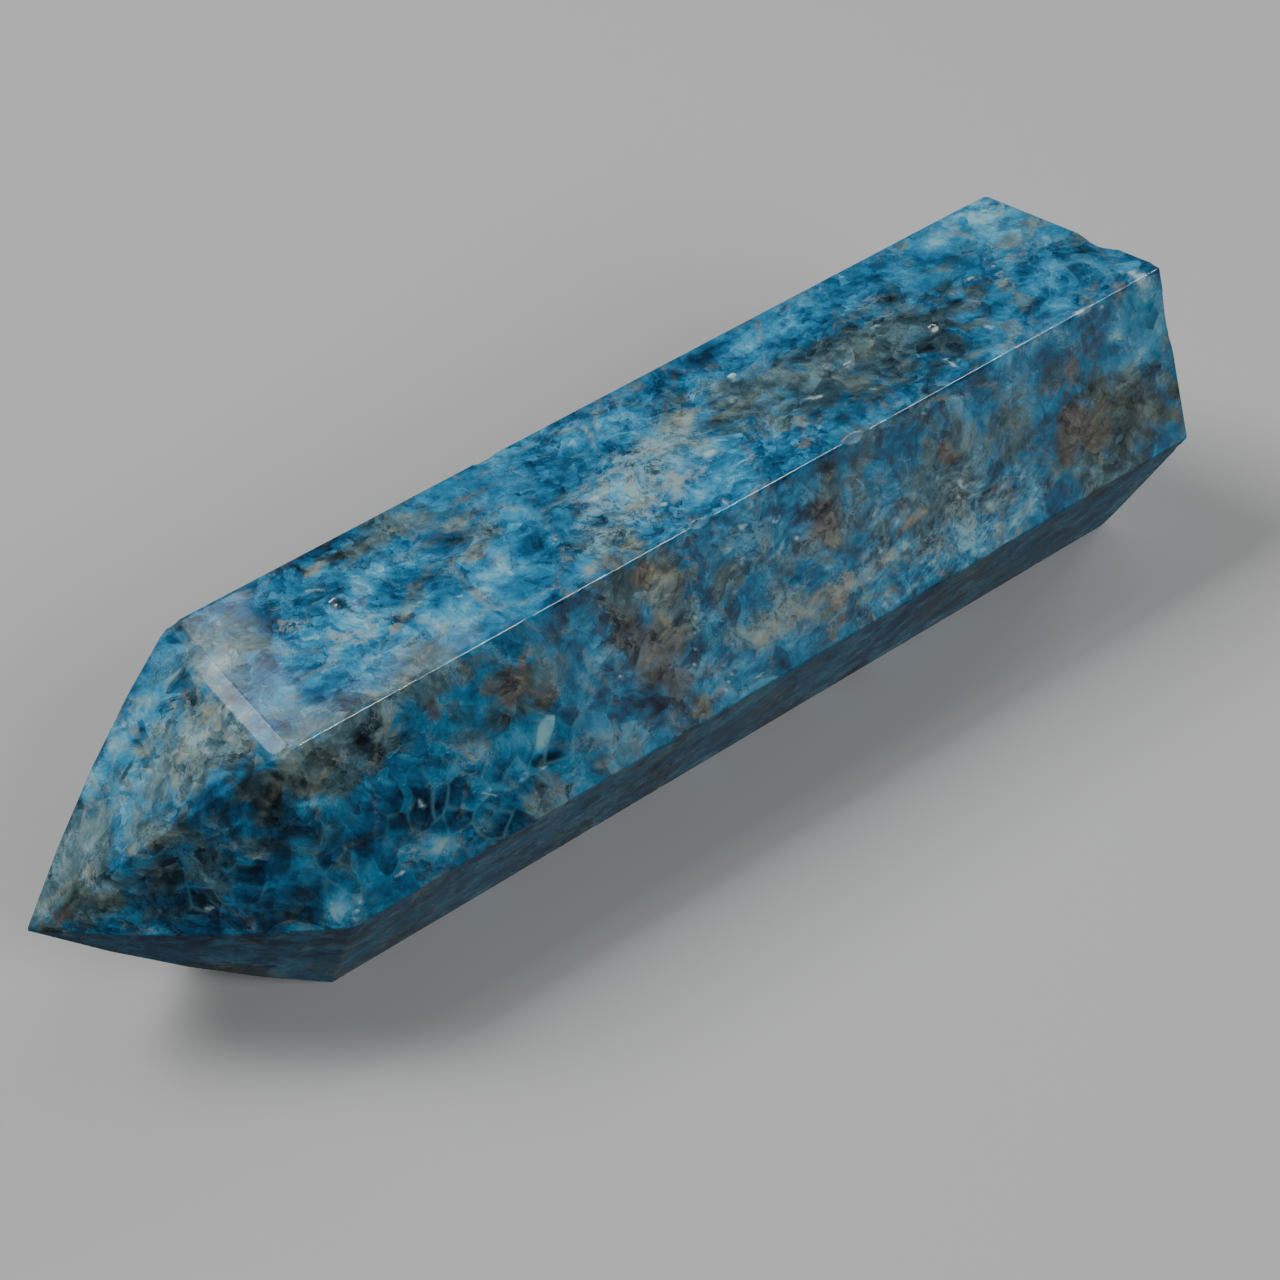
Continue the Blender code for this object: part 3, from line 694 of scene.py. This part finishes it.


# %% [markdown]
# ## Needles, flakes, feathers and grains
# Four effects give the stone its texture at small scale, and each is a node group so that it can be used at
# several sizes. Needles squeeze the space along one direction, which turns any noise into streaks. Flakes
# are the thin curls where cracks inside the stone catch the light: the places where a noise crosses its
# middle value. Feathers are slivers of crystal with painted shade, lighter on one side and darker on the
# other as if they stood raised in a light from one side: the difference of one noise between two places
# that lie close together. Grains are the blue crystals: the cells of a Voronoi pattern, each with its own
# tone, a lighter and a darker side, and a thin pale outline.

# %% Build the groups
MIDDLE_GREY = (0.5, 0.5, 0.5)
TONE_SLOPE = 1.4

needles, given, result = new_group(
    "needles", {"Place": None, "Along": None, "Squeeze": 0.3}, {"Place": "NodeSocketVector"}
)
less = maths(needles, "SUBTRACT", given["Squeeze"], 1.0)
less = maths(needles, "MULTIPLY", reach_along(needles, given["Place"], given["Along"]), less)
needles.links.new(vectors(needles, "MULTIPLY_ADD", given["Along"], less, given["Place"]), result["Place"])

flakes, given, result = new_group(
    "flakes", {"Place": None, "Per mm": 1.0, "Thin": 0.03, "Detail": 5.0}, {"Mask": "NodeSocketFloat"}
)
sockets = {"Vector": given["Place"], "Scale": given["Per mm"], "Detail": given["Detail"]}
veil = put(flakes, "TexNoise", {**sockets, "Roughness": 0.55, "Distortion": 0.2}).outputs["Fac"]
off_middle = maths(flakes, "ABSOLUTE", maths(flakes, "SUBTRACT", veil, 0.5))
flakes.links.new(between(flakes, off_middle, given["Thin"], 0.0), result["Mask"])

# Painted shade: each feather is lighter on one side and darker on the other, as if raised in a light from one
# side.
shaded_feathers, given, result = new_group(
    "shaded_feathers", {"Place": None, "Aside": None, "Per mm": 1.0, "Detail": 4.0}, {"Painted shade": "NodeSocketFloat"}
)
aside = vectors(shaded_feathers, "ADD", given["Place"], given["Aside"])
sides = []
for spot in (given["Place"], aside):
    sockets = {"Vector": spot, "Scale": given["Per mm"], "Detail": given["Detail"], "Roughness": 0.62}
    sides.append(put(shaded_feathers, "TexNoise", sockets).outputs["Fac"])
shaded_feathers.links.new(maths(shaded_feathers, "SUBTRACT", *sides), result["Painted shade"])

grains, given, result = new_group(
    "grains",
    {"Place": None, "Per mm": 0.6, "Outline": 0.08},
    {"Outline": "NodeSocketFloat", "Tone": "NodeSocketFloat"},
)
cell = {"Vector": given["Place"], "Scale": given["Per mm"]}
rim = put(grains, "TexVoronoi", cell, feature="DISTANCE_TO_EDGE").outputs["Distance"]
own = put(grains, "TexVoronoi", cell, feature="F1").outputs
from_middle = vectors(grains, "SUBTRACT", given["Place"], own["Position"])
lean = vectors(grains, "SUBTRACT", own["Color"], MIDDLE_GREY)
slope = maths(grains, "MULTIPLY", reach_along(grains, from_middle, lean), given["Per mm"])
tone = put(grains, "SeparateColor", {"Color": own["Color"]}).outputs[0]
grains.links.new(between(grains, rim, given["Outline"], 0.0), result["Outline"])
grains.links.new(maths(grains, "MULTIPLY_ADD", slope, TONE_SLOPE, tone), result["Tone"])
print("groups:", [group.name for group in bpy.data.node_groups])

# %% [markdown]
# ## The stone's material
# Massive apatite is a tight mass of blue crystals with cracks, veils and specks of other minerals. The
# material builds it up as it grew. First comes the body, which runs from deep to bright and from blue to a
# greyish teal, as noises and the tone fields say, with painted shade on its feathers. Then each kind of mark
# is laid over it where the mesh says, broken up by noise so that it has no hard outline. Last come the
# white flakes, which in three small pits are a painted highlight, and the cracks that run all through it.

# %% The palette
BLUES = [(18, 34, 48), (27, 60, 88), (36, 92, 130), (49, 128, 169), (79, 162, 199), (142, 200, 215)]
TEALS = [(18, 28, 34), (34, 52, 60), (56, 82, 92), (82, 112, 122), (116, 146, 154), (164, 188, 192)]
# Each kind over the body: its darker and its lighter colour, its noise, the most that it covers, and how much
# it is broken up.
LAID_OVER = {
    "olive": ((44, 54, 44), (116, 122, 98), "streaky", 0.68, 0.65),
    "umber": ((40, 36, 33), (112, 102, 92), "cloudy", 0.70, 0.50),
    "rust": ((92, 72, 58), (146, 126, 104), "cloudy", 0.55, 0.50),
    "tan": ((98, 98, 76), (178, 172, 140), "streaky", 0.68, 0.65),
    "ink": ((10, 18, 24), (26, 44, 56), "grainy", 0.80, 0.40),
}
# These two lie mostly in thin veins, with only so much of their cover between the veins.
VEINED = {"olive": 0.55, "tan": 0.50}
SOFT_EDGE = 0.36
THREAD = ((62, 72, 66), (158, 160, 138))
CRYSTAL_RIM = (88, 143, 164)
CURL_BLUE = (136, 190, 208)
CURL_CREAM = (166, 172, 160)
# The white of the ice flakes, and of the painted highlight in three small pits.
ICE_AND_PIT_GLINT_WHITE = (176, 210, 218)
CRACK = (18, 40, 52)
DUST = (120, 168, 184)

# %% The noises
NEAR_NEEDLE = Vector((0.62, -0.64, -0.45)).normalized()
TURN_AT = (-5.0, 0.0, 18.0)
BEND = 2.4

apatite = bpy.data.materials.new("blue apatite")
apatite.use_nodes = True
tree = apatite.node_tree
shader = tree.nodes["Principled BSDF"]


def fractal(place, per_mm, detail, rough):
    """Three independent noises, as the parts of a colour."""
    sockets = {"Vector": place, "Scale": per_mm, "Detail": detail, "Roughness": rough}
    return put(tree, "SeparateColor", {"Color": put(tree, "TexNoise", sockets).outputs["Color"]}).outputs


def field(name):
    return put(tree, "Attribute", attribute_name=name).outputs["Fac"]


def swing(value, gain):
    """How far a noise is from its middle, times a gain."""
    return maths(tree, "MULTIPLY", maths(tree, "SUBTRACT", value, 0.5), gain)


def total(*values):
    result = values[0]
    for value in values[1:]:
        result = maths(tree, "ADD", result, value)
    return result


surface = put(tree, "TexCoord").outputs["Object"]
place = put(tree, "VectorMath", {0: surface, "Scale": 1 / MM}, operation="SCALE").outputs[0]
bend = put(tree, "TexNoise", {"Vector": place, "Scale": 0.22, "Detail": 1.0}).outputs["Color"]
bent = vectors(tree, "MULTIPLY_ADD", vectors(tree, "SUBTRACT", bend, MIDDLE_GREY), (BEND, BEND, BEND), place)
# The needles lie one way in the near third of the stone and another way in the rest.
from_turn = vectors(tree, "SUBTRACT", bent, TURN_AT)
far_laid = use_group(tree, needles, Place=from_turn, Along=NEEDLE, Squeeze=0.45)["Place"]
near_laid = use_group(tree, needles, Place=from_turn, Along=NEAR_NEEDLE, Squeeze=0.55)["Place"]
far_share = between(tree, put(tree, "SeparateXYZ", {0: bent}).outputs[0], -14.0, 4.0)
laid = put(tree, "Mix", {0: far_share, 4: near_laid, 5: far_laid}, data_type="VECTOR").outputs[1]

broad = fractal(place, 0.11, 2, 0.5)
cloudy = fractal(bent, 0.36, 5, 0.54)
streaks = fractal(laid, 0.60, 4, 0.50)
grainy = fractal(bent, 1.3, 4, 0.54)
fine = fractal(bent, 4.4, 3, 0.65)
# The feathers' painted shade, one noise taken at two close places and subtracted.
feather_shade = use_group(tree, shaded_feathers, Place=laid, Aside=(0.10, 0.20, 0.14), Per_mm=1.1, Detail=3.0)["Painted shade"]
torn_by = put(tree, "CombineXYZ", {part: swing(grainy[part], 1.3) for part in range(3)}).outputs[0]
torn = vectors(tree, "ADD", bent, torn_by)
laid_torn = vectors(tree, "ADD", laid, torn_by)
crystals = use_group(tree, grains, Place=bent, Per_mm=0.50, Outline=0.10)
small_crystals = use_group(tree, grains, Place=torn, Per_mm=1.0, Outline=0.10)
slivers = use_group(tree, grains, Place=laid_torn, Per_mm=1.7, Outline=0.10)
in_cells = field("cells")

# %% The body
small_tone = total(swing(small_crystals["Tone"], 0.20), swing(slivers["Tone"], 0.16))
# Some places are busy with small crystals and others are quiet.
busy = between(tree, maths(tree, "ADD", cloudy[2], broad[2]), 0.86, 1.14, 0.30, 1.0)
shade = total(
    maths(tree, "ADD", field("shade"), 0.55),
    swing(broad[0], 0.30),
    swing(cloudy[0], 0.60),
    swing(streaks[0], 0.36),
    swing(grainy[0], 0.36),
    swing(fine[0], 0.22),
    # Painted shade of the feathers, strongest inside the feathered marks.
    maths(tree, "MULTIPLY", feather_shade, maths(tree, "MULTIPLY_ADD", field("feather_shaded"), 1.0, 0.3)),
    maths(tree, "MULTIPLY", small_tone, maths(tree, "MULTIPLY_ADD", in_cells, -0.25, busy)),
    maths(tree, "MULTIPLY", swing(crystals["Tone"], 0.17), maths(tree, "MULTIPLY_ADD", in_cells, 1.1, 0.8)),
)
greyness = total(
    maths(tree, "ADD", field("greyness"), 0.36),
    swing(broad[1], 1.0),
    swing(cloudy[1], 1.2),
    swing(streaks[1], 1.1),
    swing(grainy[1], 0.8),
)


def ramp_of(value, colours):
    ramp = put(tree, "ValToRGB", {"Fac": value})
    steps = ramp.color_ramp.elements
    steps[0].color = paint(*colours[0])
    steps[-1].color = paint(*colours[-1])
    for number, colour in enumerate(colours[1:-1], 1):
        steps.new(number / (len(colours) - 1)).color = paint(*colour)
    return ramp.outputs["Color"]


colour = mix_colours(tree, between(tree, greyness, 0.20, 0.90), ramp_of(shade, BLUES), ramp_of(shade, TEALS))
print("the body runs through", len(BLUES), "blues and", len(TEALS), "teals")

# %% The marks
noises = {"cloudy": cloudy[2], "streaky": streaks[2], "grainy": grainy[2]}
veins = use_group(tree, flakes, Place=bent, Per_mm=0.45, Thin=0.045, Detail=4.0)["Mask"]
lightness = between(tree, shade, 0.20, 0.75)
for kind, (dark, light, texture, most, broken_up) in LAID_OVER.items():
    amount = total(field(kind), swing(noises[texture], 2.4 * broken_up), swing(fine[1], 1.2 * broken_up))
    cover = between(tree, amount, 0.5 - SOFT_EDGE, 0.5 + SOFT_EDGE, 0.0, most)
    if kind in VEINED:
        in_veins = maths(tree, "MULTIPLY_ADD", veins, 1 - VEINED[kind], VEINED[kind])
        cover = maths(tree, "MULTIPLY", cover, in_veins)
    colour = mix_colours(tree, cover, colour, mix_colours(tree, lightness, paint(*dark), paint(*light)))
threads = use_group(tree, grains, Place=torn, Per_mm=0.17, Outline=0.06)["Outline"]
threads = maths(tree, "MULTIPLY", threads, between(tree, grainy[1], 0.38, 0.58, 0.15, 1.0))
threads = maths(tree, "MULTIPLY", threads, between(tree, cloudy[1], 0.42, 0.60, 0.08, 0.50))
thread_colour = mix_colours(tree, lightness, paint(*THREAD[0]), paint(*THREAD[1]))
colour = mix_colours(tree, threads, colour, thread_colour)
print("laid", len(LAID_OVER), "kinds and a net of thin threads over the body")

# %% Crystal outlines, flakes and cracks
outline = maths(tree, "MULTIPLY", crystals["Outline"], maths(tree, "MULTIPLY", in_cells, 0.55))
outline = maths(tree, "MULTIPLY", outline, between(tree, cloudy[0], 0.38, 0.56))
colour = mix_colours(tree, outline, colour, paint(*CRYSTAL_RIM))

whiteness = maths(tree, "MAXIMUM", field("cloud"), field("ice_and_pit_glint"))
thin = maths(tree, "MULTIPLY_ADD", whiteness, 0.060, 0.012)
curls = use_group(tree, flakes, Place=torn, Per_mm=0.42, Thin=thin, Detail=4.0)["Mask"]
small_curls = use_group(tree, flakes, Place=torn, Per_mm=1.3, Thin=thin, Detail=2.0)["Mask"]
curls = maths(tree, "MAXIMUM", curls, maths(tree, "MULTIPLY", small_curls, 0.8))
everywhere = maths(tree, "MULTIPLY_ADD", field("shade"), 1.6, between(tree, cloudy[0], 0.46, 0.62, 0.0, 0.42))
strongest = maths(tree, "MAXIMUM", everywhere, maths(tree, "MULTIPLY", whiteness, 0.8))
share = maths(tree, "MULTIPLY", curls, strongest)
curl_colour = mix_colours(tree, between(tree, cloudy[2], 0.42, 0.60), paint(*CURL_BLUE), paint(*CURL_CREAM))
colour = mix_colours(tree, share, colour, curl_colour)
# White ice flakes, and in three small pits a painted highlight.
core = maths(tree, "ADD", field("ice_and_pit_glint"), swing(grainy[2], 1.8))
colour = mix_colours(tree, between(tree, core, 0.45, 1.0, 0.0, 0.85), colour, paint(*ICE_AND_PIT_GLINT_WHITE))

cracks = use_group(tree, flakes, Place=bent, Per_mm=0.30, Thin=0.006, Detail=5.0)["Mask"]
cracks = maths(tree, "MULTIPLY", cracks, between(tree, streaks[0], 0.42, 0.60, 0.0, 0.5))
colour = mix_colours(tree, cracks, colour, paint(*CRACK))

broken_skin = field("broken_skin")
dusty = maths(tree, "MULTIPLY", broken_skin, maths(tree, "MULTIPLY_ADD", field("ink"), -0.12, 0.12))
colour = mix_colours(tree, dusty, colour, paint(*DUST))
print("flakes, ice, cracks and dust are laid on")

# %% Gloss and relief
APATITE_IOR = 1.63
SHEEN = 0.35
DIMPLE = 0.002 * MM

gloss = between(tree, cloudy[1], 0.38, 0.62, 0.035, 0.065)
rough = maths(tree, "MULTIPLY_ADD", broken_skin, maths(tree, "MULTIPLY_ADD", field("ink"), -0.5, 0.6), gloss)
dimples = put(tree, "TexNoise", {"Vector": place, "Scale": 1.6, "Detail": 2.0}).outputs["Fac"]
dimpled = put(tree, "Bump", {"Strength": 0.25, "Distance": DIMPLE, "Height": dimples})
tree.links.new(colour, shader.inputs["Base Color"])
tree.links.new(rough, shader.inputs["Roughness"])
tree.links.new(dimpled.outputs["Normal"], shader.inputs["Normal"])
shader.inputs["IOR"].default_value = APATITE_IOR
shader.inputs["Specular IOR Level"].default_value = SHEEN
mesh.materials.append(apatite)
print(len(tree.nodes), "nodes in the material")

# %% Fix the piece to the frame
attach(tower, "root")
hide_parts("apatite_tower")
